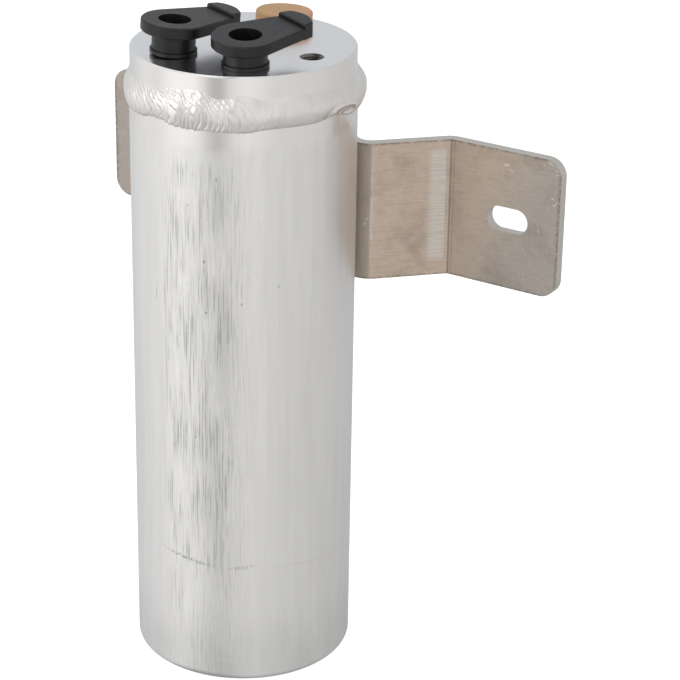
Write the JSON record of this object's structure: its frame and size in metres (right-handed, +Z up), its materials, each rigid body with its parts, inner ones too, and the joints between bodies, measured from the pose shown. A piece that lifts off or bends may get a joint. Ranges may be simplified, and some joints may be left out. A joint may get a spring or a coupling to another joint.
{
  "type": "receiver drier",
  "caption": "Upright aluminium receiver drier: a plain round can, a welded-on flat head with plugged ports, and a bent strap behind it with slotted flanges.",
  "frame": {"origin": "middle of the can's flat floor, on the surface that the drier stands on", "axes": "+Z up the can's axis to the head, +Y towards the wall that the strap screws to, X along the strap's flanges"},
  "size_m": [0.1474, 0.0758, 0.1846],
  "materials": {
    "can": "drawn, dull, with fine upright streaks",
    "head": "turned, satin",
    "weld": "bright, rippled",
    "strap": "milled plate, dull, warm grey",
    "strap_weld": "bright, rippled",
    "plug": "matt black",
    "cap": "matt tan",
    "brass": "turned",
    "seal": "matt black",
    "spring": "drawn wire",
    "tube": "drawn",
    "strainer": "moulded, natural white",
    "mesh": "woven",
    "plate": "pressed",
    "felt": "felt",
    "beads": "matt beads"
  },
  "bodies": {
    "root": {"canister": "can", "head": "head", "head_weld": "weld", "bracket": "strap", "bracket_welds": "strap_weld", "outlet_plug": "plug", "inlet_plug": "plug", "switch_cap": "cap", "valve_core": "brass", "valve_pin": "brass", "valve_seal": "seal", "valve_spring": "spring", "pickup_tube": "tube", "pickup_strainer": "strainer", "strainer_mesh": "mesh", "lower_plate": "plate", "upper_plate": "plate", "lower_pad": "felt", "upper_pad": "felt", "desiccant": "beads", "bed_spring": "spring"}
  },
  "joints": []
}
